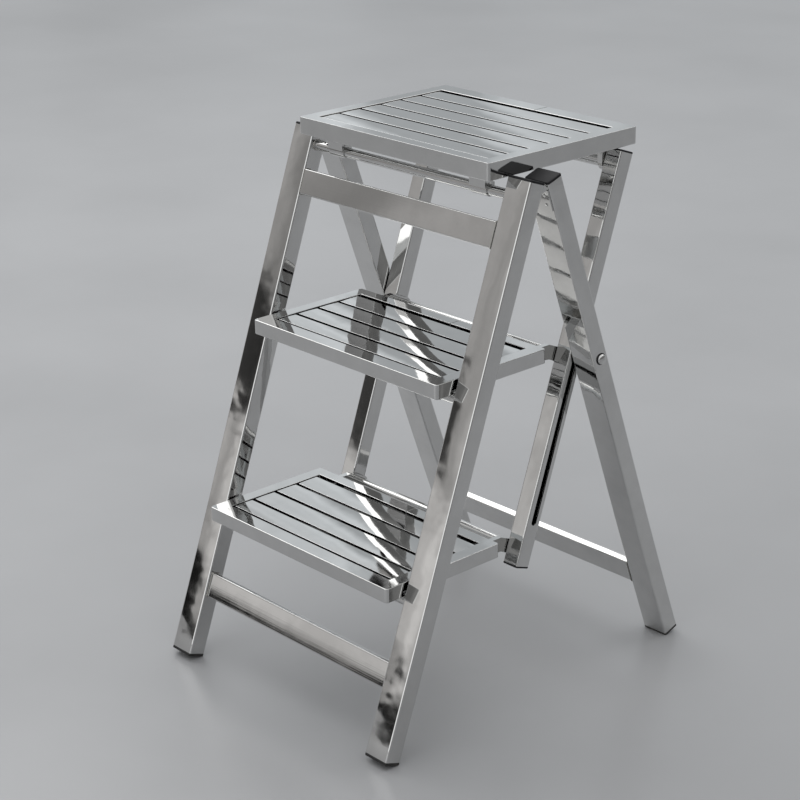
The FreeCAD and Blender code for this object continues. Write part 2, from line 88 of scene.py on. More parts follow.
class StoolSizes(bpy.types.PropertyGroup):
    """Sizes of the stool's pieces, in metres and radians."""

    front_lean: angle("Front lean", "Front legs from upright, tops leaning back", 19.63)
    rear_lean: angle("Rear lean", "Rear legs from upright, tops leaning forward", 19.29)
    leg_out: length("Leg outside", "Middle plane to a leg's outer face", 0.1947)
    leg_width: length("Leg width", "Leg tube across its front", 0.035)
    leg_depth: length("Leg depth", "Leg tube from front to back", 0.022)
    leg_round: length("Leg edge", "Radius of the leg tube's long edges", 0.0020)
    front_length: length("Front leg", "Front leg with cap and foot", 0.654724)
    rear_length: length("Rear leg", "Rear leg with cap and foot", 0.652818)
    cap_top: length("Cap", "Visible thickness of a top cap", 0.0025)
    cap_foot: length("Foot", "Visible thickness of a foot", 0.003)
    carrier_in: length("Carrier inside", "Middle plane to a carrier leg's inner face", 0.136)
    carrier_out: length("Carrier outside", "Middle plane to a carrier leg's outer face", 0.15845)
    carrier_depth: length("Carrier depth", "Carrier leg from front to back", 0.021)
    carrier_mid: length("Carrier reach", "Carrier's middle line behind the front plane", 0.1838)
    carrier_low: length("Carrier low end", "Along the leg, cap included", 0.217813)
    carrier_top: length("Carrier top end", "Along the leg, cap included", 0.710357)
    slot_width: length("Slot", "Width of the guide slot", 0.008)
    slot_low: length("Slot low end", "Along the carrier leg", 0.26963)
    slot_top: length("Slot top end", "Along the carrier leg", 0.48121)
    wall: length("Tube wall", "Wall thickness of the tubes", 0.001)
    bar_height: length("Crossbar height", "Flat crossbar tube, along the leg", 0.0302)
    bar_depth: length("Crossbar depth", "Flat crossbar tube, front to back", 0.010)
    upper_bar: length("Upper crossbar", "Its lower edge, along the front leg", 0.573224)
    lower_bar: length("Lower crossbars", "Their lower edge, along the leg", 0.0753)
    pivot_tube: length("Hinge tube", "Radius of the round tubes the treads turn on", 0.0060)
    top_tube: length("Carrier top tube", "Radius of the carrier's top tube", 0.0087)
    side_rail: length("Side rail", "Width of a tread's side rail", 0.0154)
    rail_more: length("Side rail relief", "Side rails stand out this much more", 0.0013)
    corner_seat: length("Seat corners", "Radius of the seat's front corners in plan", 0.0035)
    corner_front: length("Front corners", "Radius of a tread's front corners in plan", 0.0043)
    corner_rear: length("Rear corners", "Radius of a tread's rear corners in plan", 0.003)
    rail_round: length("Rail edge", "Radius of a tread's rail's top edges", 0.0008)
    seat_round: length("Seat edge", "Radius of the seat's rail's top edges", 0.0004)
    rail_low_round: length("Rail lower edge", "Radius of a rail's lower edges", 0.0010)
    slat_round: length("Slat edge", "Radius of a slat's edges", 0.0004)
    slat_crown: length("Slat crown", "How much a slat's top is arched", 0.00022)
    slat_short: length("Slat end gap", "Between a slat's end and the rail", 0.0013)
    slat_shy: length("Slat relief", "A tread's slat narrower than its place, each side", 0.0009)
    seat_shy: length("Seat slat relief", "A seat slat narrower than its place, each side", 0.0005)
    seat_open: length("Seat front gap", "More room between the seat's front rail and slat", 0.0024)
    tread_open: length("Tread front gap", "More room between a tread's front rail and slat", 0.0036)
    slat_tilt: angle("Slat tilt", "How far slats lie out of level, one to the next", 0.55)
    foot_kick: length("Foot kick", "How far a leg's foot stands out from its straight line", 0.0022)
    bar_tilt: angle("Crossbar tilt", "Lower crossbars' faces turned up from the legs' faces", 1.10)
    seam_x: length("Rail seam", "Where the bent rail closes, to the right of the middle", 0.0175)
    bolt_head: length("Bolt head", "Radius of the slide bolt's head", 0.0060)
    bolt_rise: length("Bolt head rise", "Height of the slide bolt's head", 0.0048)
    weld: length("Weld bead", "Radius of a weld bead", 0.0006)
    seat_slats: IntProperty(name="Seat slats", description="Slats of the seat", default=6, min=1)
    tread_slats: IntProperty(name="Tread slats", description="Slats of a tread", default=4, min=1)


class StoolColours(bpy.types.PropertyGroup):
    """Colours of the stool's finishes and of the stage."""

    steel: colour("Stainless steel", "Polished stainless steel's reflection", "#D3D3D2")
    bead: colour("Weld", "Brushed-over weld metal", "#B9B8B5")
    plastic: colour("Cap plastic", "Moulded black polypropylene", "#141416")
    rubber: colour("Foot rubber", "Black rubber", "#1B1B1B")
    floor: colour("Floor", "Pale floor", "#A8A9AB")


# ---- mesh helpers -------------------------------------------------------------

def put_mesh(name, parts, material, body, stands_for=()):
    """One object from grids of points and polygons, with smooth faces and sharp edges where they
    turn by more than 35 degrees."""
    sharp = math.radians(35)
    points, faces, base = [], [], 0
    for p, f in parts:
        points.append(p)
        faces.extend([tuple(int(i) + base for i in face) for face in f])
        base += len(p)
    mesh = bpy.data.meshes.new(name)
    mesh.from_pydata(np.vstack(points).tolist(), [], faces)
    mesh.validate()
    mesh.update()
    mesh.shade_smooth()
    mesh.set_sharp_from_angle(angle=sharp)
    mesh.materials.append(material)
    obj = bpy.data.objects.new(name, mesh)
    bpy.context.scene.collection.objects.link(obj)
    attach(obj, body)
    if stands_for:
        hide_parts(*stands_for)


def quads(rows, columns, wrap_rows=False):
    """Faces of a grid of points, row by row. Each row is closed round, and the last row is joined
    to the first where asked."""
    rr, cc = np.meshgrid(np.arange(rows if wrap_rows else rows - 1), np.arange(columns),
                         indexing="ij")
    r2, c2 = (rr + 1) % rows, (cc + 1) % columns
    return np.stack([rr * columns + cc, rr * columns + c2, r2 * columns + c2, r2 * columns + cc],
                    axis=-1).reshape(-1, 4)


def closed_ends(grid):
    """A grid of rings with its first and last ring closed by a face."""
    rows, columns = grid.shape[:2]
    faces = [tuple(f) for f in quads(rows, columns)]
    faces.append(tuple(range(columns))[::-1])
    faces.append(tuple(range((rows - 1) * columns, rows * columns)))
    return grid.reshape(-1, 3), faces


def box_profile(width, height, radii, crown=0.0, side=9, corner=7):
    """Closed outline of a rounded rectangle about its middle: straight sides, arched outwards
    by crown times one minus t squared, joined by quarter circles. The radii are one number, or one
    for each corner, from the upper right anticlockwise. A side has a point 0.08 mm from each of its
    ends, so that its shading stays flat up to the edge."""
    inset = 0.00008
    hw, hh = width / 2, height / 2
    radii = np.broadcast_to(radii, 4)
    a = np.linspace(0, math.pi / 2, corner)[1:-1]
    out = []
    for k, (half, reach) in enumerate(((hh, hw), (hw, hh), (hh, hw), (hw, hh))):
        turn = k * math.pi / 2
        n = np.array([math.cos(turn), math.sin(turn)])
        s = np.array([-n[1], n[0]])
        start, end = -half + radii[k - 1], half - radii[k]
        t = np.linspace(-1, 1, side - 2) * (1 - 2 * inset / (end - start))
        t = np.concatenate([[-1.0], t, [1.0]])
        run = (start + end) / 2 + t * (end - start) / 2
        straight = n * (reach + crown * (1 - t ** 2))[:, None] + s * run[:, None]
        centre = n * (reach - radii[k]) + s * end
        arc = centre + radii[k] * (n * np.cos(a)[:, None] + s * np.sin(a)[:, None])
        out += [straight, arc]
    return np.vstack(out)


def carried(profile, stations, origin, across, deep, along, shrink=None, stray=None):
    """Profile carried along a straight line: point = origin + x across + y deep + station along,
    each ring shrunk about the line, and moved along deep, by its own amount in metres."""
    p = np.repeat(profile[None], len(stations), axis=0)
    if shrink is not None:
        size = np.abs(profile).max(0)
        p = p * (1 - np.asarray(shrink)[:, None, None] / size)
    if stray is not None:
        p = p + np.asarray(stray)[:, None, None] * np.array([0.0, 1.0])
    s = np.asarray(stations)[:, None, None]
    return np.asarray(origin) + p[..., :1] * across + p[..., 1:] * deep + s * along


def bar_stations(start, end, edge, steps):
    """Stations along a bar and how far each ring is drawn in, so that its ends are rounded."""
    a = np.linspace(0, math.pi / 2, 5)
    lead, draw = edge * (1 - np.sin(a)), edge * (1 - np.cos(a))
    mid = np.linspace(start + edge, end - edge, steps)[1:-1]
    return (np.concatenate([start + lead[::-1], mid, end - lead]),
            np.concatenate([draw[::-1], np.zeros(len(mid)), draw]))


def rolled(profile, turn):
    """Profile turned clockwise about its middle."""
    c, s = math.cos(turn), math.sin(turn)
    return profile @ np.array([[c, -s], [s, c]])


def turned(profile, centre, axis, steps):
    """Surface of revolution: profile points (distance along the axis, radius) turned round it."""
    axis = Vector(axis).normalized()
    u = np.array(axis.orthogonal().normalized())
    v = np.cross(np.array(axis), u)
    a = np.linspace(0, 2 * math.pi, steps, endpoint=False)
    ring = u * np.cos(a)[:, None] + v * np.sin(a)[:, None]
    h, r = np.asarray(profile, float).T
    return np.asarray(centre) + h[:, None, None] * np.array(axis) + r[:, None, None] * ring


def bead(path, radius, ripple=0.25, pitch=0.0022, around=8):
    """Weld bead: a small circle carried along a closed path, its radius swelling and shrinking as
    a cosine of the distance travelled."""
    path = np.asarray(path, float)
    step = np.roll(path, -1, 0) - np.roll(path, 1, 0)
    tangent = step / np.linalg.norm(step, axis=1)[:, None]
    travel = np.concatenate([[0], np.cumsum(np.linalg.norm(np.diff(path, axis=0), axis=1))])
    middle = path.mean(0)
    out = path - middle
    out -= (out * tangent).sum(1)[:, None] * tangent
    out /= np.linalg.norm(out, axis=1)[:, None]
    side = np.cross(tangent, out)
    a = np.linspace(0, 2 * math.pi, around, endpoint=False)
    r = radius * (1 + ripple * np.cos(2 * math.pi * travel / pitch))
    grid = (path[:, None] + r[:, None, None] * (out[:, None] * np.cos(a)[None, :, None]
                                                + side[:, None] * np.sin(a)[None, :, None]))
    return grid.reshape(-1, 3), quads(len(path), around, wrap_rows=True)


def densified(outline, spacing):
    """Closed outline with points every spacing along its runs."""
    nxt = np.roll(outline, -1, 0)
    runs = np.linalg.norm(nxt - outline, axis=1)
    travel = np.concatenate([[0], np.cumsum(runs)])
    s = np.linspace(0, travel[-1], max(8, int(travel[-1] / spacing)), endpoint=False)
    loop = np.vstack([outline, outline[:1]])
    return np.stack([np.interp(s, travel, loop[:, k]) for k in range(loop.shape[1])], axis=1)


def outward(parts):
    """The same parts with their faces turned so that each closed part faces out."""
    fixed = []
    for p, f in parts:
        volume = sum(float(np.dot(p[face[0]], np.cross(p[face[i]], p[face[i + 1]])))
                     for face in f for i in range(1, len(face) - 1))
        fixed.append((p, [tuple(face)[::-1] for face in f] if volume < 0 else f))
    return fixed


# ---- directions and places ------------------------------------------------------

X = np.array([1.0, 0.0, 0.0])
Y = np.array([0.0, 1.0, 0.0])
Z = np.array([0.0, 0.0, 1.0])


def front_axes(s):
    """Origin, backward and upward directions of the front legs and of the carrier."""
    y0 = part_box("front_foot_caps")[0].y
    deep = np.array([0.0, math.cos(s.front_lean), -math.sin(s.front_lean)])
    up = np.array([0.0, math.sin(s.front_lean), math.cos(s.front_lean)])
    return np.array([0.0, y0, s.leg_depth * math.sin(s.front_lean)]), deep, up


def rear_axes(s):
    """Origin, backward and upward directions of the rear legs."""
    y1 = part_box("rear_foot_caps")[1].y
    deep = np.array([0.0, math.cos(s.rear_lean), math.sin(s.rear_lean)])
    up = np.array([0.0, -math.sin(s.rear_lean), math.cos(s.rear_lean)])
    return np.array([0.0, y1 - s.leg_depth * math.cos(s.rear_lean), 0.0]), deep, up


def hinge_point(name):
    """A joint's place, in metres."""
    return np.array(JOINTS[name]["pos_m"], float)


# ---- finishes -------------------------------------------------------------------

def add(tree, kind, settings=None, **links):
    """Adds a node, sets its properties and socket values, and links its inputs, each by its name
    or by i and its number."""
    node = tree.nodes.new(kind)
    for key, value in (settings or {}).items():
        if key in node.inputs:
            node.inputs[key].default_value = value
        else:
            setattr(node, key, value)
    for key, source in links.items():
        numbered = key[0] == "i" and key[1:].isdigit()
        tree.links.new(source, node.inputs[int(key[1:]) if numbered else key])
    return node


def new_material(name):
    """An empty node material and its tree."""
    material = bpy.data.materials.new(name)
    material.use_nodes = True
    material.node_tree.nodes.clear()
    return material, material.node_tree


def mapped(tree, value, low, high, new_low, new_high):
    """Value taken from one range to another and held at its ends."""
    return add(tree, "ShaderNodeMapRange",
               {"From Min": low, "From Max": high, "To Min": new_low, "To Max": new_high},
               Value=value).outputs["Result"]


def maths(tree, operation, first, second):
    """Two values joined by an operation."""
    return add(tree, "ShaderNodeMath", {"operation": operation},
               i0=first, i1=second).outputs["Value"]


def noise(tree, scale, detail, roughness=0.5):
    """Noise over object coordinates in metres, multiplied by scale: one number, or one for each
    axis."""
    place = add(tree, "ShaderNodeTexCoord")
    place = add(tree, "ShaderNodeMapping",
                {"Scale": scale if isinstance(scale, tuple) else (scale, scale, scale)},
                Vector=place.outputs["Object"])
    return add(tree, "ShaderNodeTexNoise",
               {"Scale": 1.0, "Detail": detail, "Roughness": roughness},
               Vector=place.outputs["Vector"]).outputs["Fac"]


def bumped(tree, height, distance, strength=1.0, **under):
    """Normal of a surface raised by height times distance, over another normal where one is
    given."""
    return add(tree, "ShaderNodeBump", {"Strength": strength, "Distance": distance},
               Height=height, **under).outputs["Normal"]


def blended(tree, factor, first, second):
    """The first colour where the factor is nought and the second where it is one, each an output
    or three linear values."""
    mix = add(tree, "ShaderNodeMix", {"data_type": "RGBA"}, Factor=factor)
    for socket, tone in ((mix.inputs[6], first), (mix.inputs[7], second)):
        if isinstance(tone, bpy.types.NodeSocket):
            tree.links.new(tone, socket)
        else:
            socket.default_value = (*tone, 1)
    return mix.outputs[2]


def surfaced(material, tree, settings, tone, **links):
    """Ends a material with a principled shader of this tone."""
    shader = add(tree, "ShaderNodeBsdfPrincipled", settings, **links)
    tree.links.new(tone, shader.inputs["Base Color"])
    add(tree, "ShaderNodeOutputMaterial", Surface=shader.outputs["BSDF"])
    return material


def polished_stainless(name, tint, grain, wave, hairline):
    """Cold-rolled stainless steel, buffed to a mirror. Buffing leaves slow waves of about 50 mm in
    the surface, which bend the reflections, and hairlines along the grain, drawn here about
    1 mm apart because real ones are too fine to show."""
    material, tree = new_material(name)
    ripple_share, darker = 0.07, 0.93
    slow, short = noise(tree, 19, 0.5, 0.4), noise(tree, 85, 0.0)
    lines, haze = noise(tree, grain, 2.0), noise(tree, 38, 3.0, 0.6)
    normal = bumped(tree, slow, wave)
    normal = bumped(tree, short, wave * ripple_share, Normal=normal)
    normal = bumped(tree, lines, hairline, Normal=normal)
    tone = blended(tree, mapped(tree, haze, 0.35, 0.75, 0.0, 1.0), tint, darker * np.array(tint))
    return surfaced(material, tree, {"Metallic": 1.0}, tone, Normal=normal,
                    Roughness=mapped(tree, haze, 0.3, 0.8, 0.02, 0.08))


def weld_metal(name, tint):
    """TIG weld, wiped over with a flap wheel: grey, slightly straw-coloured by heat, satin."""
    material, tree = new_material(name)
    scale = noise(tree, 420, 3.0)
    tone = blended(tree, scale, tint, np.array(tint) * (0.66, 0.63, 0.59))
    return surfaced(material, tree, {"Metallic": 1.0, "Roughness": 0.34}, tone,
                    Normal=bumped(tree, scale, 0.0002, 0.5))


def moulded_polypropylene(name, tint):
    """Injection-moulded black polypropylene with a fine spark-eroded grain of about 0.8 mm, shiny
    where hands rub it."""
    material, tree = new_material(name)
    grain, rub = noise(tree, 1200, 2.0), noise(tree, 70, 3.0)
    tone = blended(tree, rub, tint, np.array(tint) * 1.9 + 0.004)
    return surfaced(material, tree, {"IOR": 1.49, "Specular IOR Level": 0.25}, tone,
                    Normal=bumped(tree, grain, 0.00012, 0.45),
                    Roughness=mapped(tree, rub, 0.3, 0.7, 0.5, 0.62))


def foot_rubber(name, tint):
    """Black rubber foot, dull, with pale dust that fades out 9 mm above the floor."""
    material, tree = new_material(name)
    dust, dust_height, dust_share = (0.13, 0.125, 0.115), 0.009, 0.7
    place = add(tree, "ShaderNodeTexCoord")
    part = add(tree, "ShaderNodeSeparateXYZ", Vector=place.outputs["Object"])
    patch = noise(tree, 260, 4.0)
    low = mapped(tree, part.outputs["Z"], 0.0, dust_height, dust_share, 0.0)
    tone = blended(tree, maths(tree, "MULTIPLY", low, patch), tint, dust)
    return surfaced(material, tree, {"IOR": 1.52, "Roughness": 0.74}, tone,
                    Normal=bumped(tree, patch, 0.0002, 0.4))


FINISH = {}


def finishes():
    """The stool's finishes, made once."""
    if not FINISH:
        c = bpy.context.scene.stool_colours
        # finish, hairlines in a metre along each axis, height of the waves and of the hairlines
        for key, grain, wave, hairline in (("tube", (900, 300, 14), 0.0006, 0.000002),
                                           ("bar", (6, 700, 700), 0.0001, 0.000014),
                                           ("sheet", (10, 900, 900), 0.0005, 0.000003),
                                           ("fitting", (700, 700, 700), 0.0001, 0.000003)):
            FINISH[key] = polished_stainless("polished_stainless_" + key, tuple(c.steel), grain,
                                             wave, hairline)
        FINISH["weld"] = weld_metal("wiped_tig_weld", tuple(c.bead))
        FINISH["plastic"] = moulded_polypropylene("moulded_black_polypropylene", tuple(c.plastic))
        FINISH["rubber"] = foot_rubber("black_foot_rubber", tuple(c.rubber))
    return FINISH


def paint_nodes(nodes, material):
    """Gives CAD nodes that stay shown their finish."""
    for n in nodes:
        obj = frame["nodes"][n]
        obj.data.materials.clear()
        obj.data.materials.append(material)


# ---- pieces -----------------------------------------------------------------------

def leg_pair(prefix, body, axes, s, full_length, outward_side):
    """Both legs of a frame, their caps and their feet: a crowned rounded-box profile carried up
    the leg's own direction. Its lowest 200 mm curve out by the kick times (1 - height / 200 mm)
    to the power 1.5, as a bent and welded tube does, and reach down so that the foot still stands
    on the floor."""
    origin, deep, up = axes
    f = finishes()
    crown, tube_edge, cap_edge, cap_lap, kick_height = 0.00012, 0.0004, 0.0009, 0.0002, 0.2
    profile = box_profile(s.leg_width, s.leg_depth, s.leg_round, crown)
    tube_end = full_length - s.cap_top
    at, draw = bar_stations(s.cap_foot, tube_end, tube_edge, 40)
    # a cap is rounded at its upper edge only, and rises to the middle in two shallow steps
    cap_at, cap_draw = bar_stations(tube_end - cap_lap, full_length, cap_edge, 3)
    cap_draw[:4] = 0
    cap_at = np.concatenate([cap_at, full_length + np.array([0.0001, 0.00016])])
    cap_draw = np.concatenate([cap_draw, [0.0030, 0.0058]])
    # a foot is rounded at both edges and ends inside the tube
    foot_at = np.array([0.0, 0.0006, *(s.cap_foot + np.array([-0.0007, -0.0002, 0.0004]))])
    foot_draw = [0.0003, 0.0, 0.0, 0.0003, 0.0009]

    def kick(v):
        return outward_side * s.foot_kick * np.clip(1 - v / kick_height, 0, 1) ** 1.5

    def reached(v):
        return v - np.abs(kick(v) * deep[2] / deep[1])

    caps, feet = [], []
    for side, sign in (("left", -1), ("right", 1)):
        base = origin + X * sign * (s.leg_out - s.leg_width / 2) + deep * s.leg_depth / 2
        tube = carried(profile, reached(at), base, X, deep, up, draw, kick(at))
        put_mesh(prefix + "_leg_" + side + "_tube", outward([closed_ends(tube)]), f["tube"], body,
                 stands_for=(prefix + "_leg_" + side,))
        caps.append(closed_ends(carried(profile, cap_at, base, X, deep, up, cap_draw)))
        feet.append(closed_ends(carried(profile, reached(foot_at), base, X, deep, up, foot_draw,
                                        kick(foot_at))))
    put_mesh(prefix + "_top_cap_pair", outward(caps), f["plastic"], body,
             stands_for=(prefix + "_top_caps",))
    put_mesh(prefix + "_foot_pair", outward(feet), f["rubber"], body,
             stands_for=(prefix + "_foot_caps",))


def crossbar(name, body, axes, s, recess, low, tilt=0.0):
    """Flat crossbar tube between the legs, its profile turned by the tilt about its middle line,
    with a weld bead round each end."""
    origin, deep, up = axes
    f = finishes()
    edge, crown, proud, lap, spacing = 0.0016, 0.0001, 0.0002, 0.0002, 0.0004
    half = s.leg_out - s.leg_width
    profile = rolled(box_profile(s.bar_depth, s.bar_height, edge, crown), tilt)
    base = origin + deep * (recess + s.bar_depth / 2) + up * (low + s.bar_height / 2)
    bar = carried(profile, np.linspace(-half, half, 40), base, deep, up, X)
    put_mesh(name + "_tube", outward([closed_ends(bar)]), f["bar"], body,
             stands_for=(name,))
    loop = densified(profile * (1 + proud / np.abs(profile).max(0)), spacing)
    ring = base + loop[:, :1] * deep + loop[:, 1:] * up
    rings = [bead(ring + sign * (half - lap) * X, s.weld) for sign in (-1, 1)]
    put_mesh(name + "_welds", outward(rings), f["weld"], body)


def round_bar(name, body, centre, radius, half, s):
    """Round tube across the stool, turned about its own axis, with a weld bead at each end."""
    f = finishes()
    proud, lap = 0.0001, 0.0003
    h = np.linspace(-half, half, 30)
    tube = turned(np.stack([h, np.full(len(h), radius)], 1), centre, X, 40)
    put_mesh(name + "_tube", outward([closed_ends(tube)]), f["bar"], body,
             stands_for=(name + "_tube",))
    a = np.linspace(0, 2 * math.pi, 120, endpoint=False)
    ring = centre + (radius + proud) * (Y * np.cos(a)[:, None] + Z * np.sin(a)[:, None])
    rings = [bead(ring + sign * (half - lap) * X, s.weld) for sign in (-1, 1)]
    put_mesh(name + "_welds", outward(rings), f["weld"], body)


def slotted_leg(side, sign, s):
    """Carrier leg: a rounded-box skin whose outer face is a flat ring between a long round-ended
    slot and the face's own edge, a wall through the slot, and the tube's inner skin behind it."""
    origin, deep, up = front_axes(s)
    width = s.carrier_out - s.carrier_in
    cap, inner_edge, face_points = 0.002, 0.001, 9
    low, top = s.carrier_low + cap, s.carrier_top - cap
    base = origin + X * sign * (s.carrier_in + width / 2) + deep * s.carrier_mid

    def open_skin(profile, rings):
        """Tube without its outer face, which lies between the profile's first points."""
        grid = carried(profile, np.linspace(low, top, rings), base, X * sign, deep, up)
        rows, columns = grid.shape[:2]
        return grid.reshape(-1, 3), [tuple(q) for q in quads(rows, columns)
                                     if q[0] % columns >= face_points - 1]

    # the outer face's outlines, as places across and along it, both from the slot's lower right
    half_slot, edge = s.slot_width / 2, s.carrier_depth / 2 - s.leg_round
    slot_from, slot_to = s.slot_low + half_slot, s.slot_top - half_slot
    n_side, n_corner, n_across = 60, 4, 8
    a = np.linspace(0, math.pi, 2 * n_corner + n_across - 2)

    def outline(x, top_end, low_end):
        """Up the right-hand side, over the top, down the left-hand side and round the foot."""
        right = np.stack([np.full(n_side, x), np.linspace(slot_from, slot_to, n_side)], 1)
        left = right[::-1] * (-1, 1)
        return np.vstack([right[:-1], top_end[:-1], left[:-1], low_end[:-1]])

    def round_end(x, y):
        """Half circle about a place on the middle line."""
        return np.stack([x * np.cos(a), y + x * np.sin(a)], 1)

    def square_end(x, y, far):
        """Along one edge, across at the far end and back along the other edge."""
        rise = np.stack([np.full(n_corner, x), np.linspace(y, far, n_corner)], 1)
        across = np.stack([np.linspace(x, -x, n_across), np.full(n_across, far)], 1)
        return np.vstack([rise[:-1], across[:-1], rise[::-1] * (-1, 1)])

    def on_face(flat, inset):
        """Places across and along the outer face as points, set in by an inset."""
        return base + X * sign * (width / 2 - inset) + flat[..., :1] * deep + flat[..., 1:] * up

    slot = outline(half_slot, round_end(half_slot, slot_to), round_end(-half_slot, slot_from))
    outer = outline(edge, square_end(edge, slot_to, top), square_end(-edge, slot_from, low))
    t = np.array([0.0, 0.04, 0.5, 1.0])[:, None, None]
    face = on_face(slot * (1 - t) + outer * t, 0.0)
    wall = on_face(np.stack([slot, slot]), np.array([0.0, s.wall])[:, None, None])
    skin = open_skin(box_profile(width, s.carrier_depth, s.leg_round, side=face_points), 40)
    bore = open_skin(box_profile(width - 2 * s.wall, s.carrier_depth - 2 * s.wall, inner_edge,
                                 side=face_points, corner=5), 12)
    parts = [skin, (face.reshape(-1, 3), quads(len(t), len(slot))),
             (wall.reshape(-1, 3), quads(2, len(slot))[:, ::-1]),
             (bore[0], [q[::-1] for q in bore[1]])]
    if sign < 0:
        parts = [(p, [tuple(q)[::-1] for q in fs]) for p, fs in parts]
    put_mesh("carrier_leg_" + side + "_tube", parts, finishes()["tube"], "carrier_frame",
             stands_for=("carrier_leg_" + side,))


def rail_outline(half, y0, y1, r_front, r_rear, seam, side=25, corner=9):
    """Closed outline of a tread in plan, anticlockwise from the right-hand side: sides with evenly
    spread points, six of them moved close to the seam on the rear side, and quarter-circle
    corners."""
    t = np.linspace(0, 1, side)
    a = np.linspace(0, math.pi / 2, corner)[1:-1]
    at_seam = np.array([0.0016, 0.0007, 0.0003, -0.0003, -0.0007, -0.0016])
    rear_x = np.linspace(half - r_rear, -half + r_rear, side)
    nearest = np.argsort(np.abs(rear_x[1:-1] - seam))[:len(at_seam)]
    rear_x[np.sort(nearest) + 1] = seam + at_seam

    def arc(cx, cy, r, start):
        return np.stack([cx + r * np.cos(start + a), cy + r * np.sin(start + a)], 1)

    return np.vstack([
        np.stack([np.full(side, half), (y0 + r_front) * (1 - t) + (y1 - r_rear) * t], 1),
        arc(half - r_rear, y1 - r_rear, r_rear, 0),
        np.stack([rear_x, np.full(side, y1)], 1),
        arc(-half + r_rear, y1 - r_rear, r_rear, math.pi / 2),
        np.stack([np.full(side, -half), (y1 - r_rear) * (1 - t) + (y0 + r_front) * t], 1),
        arc(-half + r_front, y0 + r_front, r_front, math.pi),
        np.stack([np.linspace(-half + r_front, half - r_front, side), np.full(side, y0)], 1),
        arc(half - r_front, y0 + r_front, r_front, 1.5 * math.pi)])


def tread(prefix, body, s, slats, corner, edge, shy, front_gap):
    """Bent rail round a tread and its slats. The rail's surface lies between its outer and inner
    outline in plan, point by point, with a rounded-box section that is drawn in a little at the
    seam. A slat is an arched rounded box carried across the tread. Slat i, from nought, is turned
    about its middle line by the tilt times the sine of 2.4 i + 0.8."""
    f = finishes()
    plain_edge, seam_reach, seam_draw = 0.0006, 0.0004, 0.09
    front_lo, front_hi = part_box(prefix + "_front_rail")
    rear_lo, rear_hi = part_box(prefix + "_rear_rail")
    half, y0, y1, z0, z1 = front_hi.x, front_lo.y, rear_hi.y, front_lo.z, front_hi.z
    outer = rail_outline(half + s.rail_more, y0, y1, corner, s.corner_rear, s.seam_x)
    inner = rail_outline(half - s.side_rail, front_hi.y, rear_lo.y, plain_edge, plain_edge,
                         s.seam_x)
    section = box_profile(s.side_rail, z1 - z0, (plain_edge, edge, s.rail_low_round, plain_edge),
                          side=7)
    share = (section[:, 0] / s.side_rail + 0.5)[None, :, None]
    plan = outer[:, None] * (1 - share) + inner[:, None] * share
    height = np.broadcast_to(z0 + (section[:, 1] + (z1 - z0) / 2), plan.shape[:2])
    grid = np.concatenate([plan, height[..., None]], axis=2)
    seam = (np.abs(outer[:, 1] - y1) < 1e-9) & (np.abs(outer[:, 0] - s.seam_x) < seam_reach)
    centre = grid.mean(axis=1, keepdims=True)
    grid = centre + (grid - centre) * (1 - seam_draw * seam)[:, None, None]
    rail = grid.reshape(-1, 3), quads(*grid.shape[:2], wrap_rows=True)
    put_mesh(prefix + "_rail", outward([rail]), f["sheet"], body,
             stands_for=[prefix + "_" + side + "_rail"
                         for side in ("front", "rear", "left", "right")])
    reach = half - s.side_rail - s.slat_short
    for i in range(slats):
        slat = "%s_slat_%d" % (prefix, i + 1)
        lo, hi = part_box(slat)
        lo.y += shy + (front_gap if i == 0 else 0.0)
        hi.y -= shy
        width = hi.y - lo.y
        profile = box_profile(width, hi.z - lo.z, s.slat_round, side=11)
        arch = s.slat_crown * (1 - (profile[:, 0] / width * 2) ** 2)
        profile[:, 1] += np.where(profile[:, 1] > 0, arch, 0)
        profile = rolled(profile, -s.slat_tilt * math.sin(2.4 * i + 0.8))
        middle = np.array([0.0, (lo.y + hi.y) / 2, (lo.z + hi.z) / 2])
        strip = carried(profile, np.linspace(-reach, reach, 36), middle, Y, Z, X)
        put_mesh(slat + "_strip", outward([closed_ends(strip)]), f["sheet"], body,
                 stands_for=(slat,))


def dome(centre, axis, radius, rise, steps=28):
    """Domed head: a quarter of an ellipse turned about the axis, on a straight edge of 22 percent
    of its rise. It starts 0.6 mm inside what it sits on."""
    sunk, edge, tip = 0.0006, 0.22 * rise, 0.02 * radius
    a = np.linspace(0, math.pi / 2, 9)[1:]
    h = np.concatenate([[-sunk, edge], edge + (rise - edge) * np.sin(a)])
    r = np.concatenate([[radius, radius], radius * np.cos(a)])
    r[-1] = tip
    return closed_ends(turned(np.stack([h, r], 1), centre, axis, steps))


# ---- operators ------------------------------------------------------------------------

class STOOL_OT_front_frame(bpy.types.Operator):
    """Front legs with caps and feet, two crossbars and the three tubes that the treads turn on"""

    bl_idname = "stool.front_frame"
    bl_label = "Front frame"

    def execute(self, context):
        s = context.scene.stool_sizes
        axes, lower_recess = front_axes(s), 0.003
        leg_pair("front", "front_frame", axes, s, s.front_length, -1)
        crossbar("front_upper_crossbar", "front_frame", axes, s, 0.0, s.upper_bar)
        crossbar("front_lower_crossbar", "front_frame", axes, s, lower_recess, s.lower_bar,
                 s.bar_tilt)
        for name, joint in (("seat", "seat_fold"), ("middle", "middle_tread_fold"),
                            ("lower", "lower_tread_fold")):
            round_bar(name + "_hinge", "front_frame", hinge_point(joint), s.pivot_tube,
                      s.leg_out - s.leg_width, s)
        return {"FINISHED"}


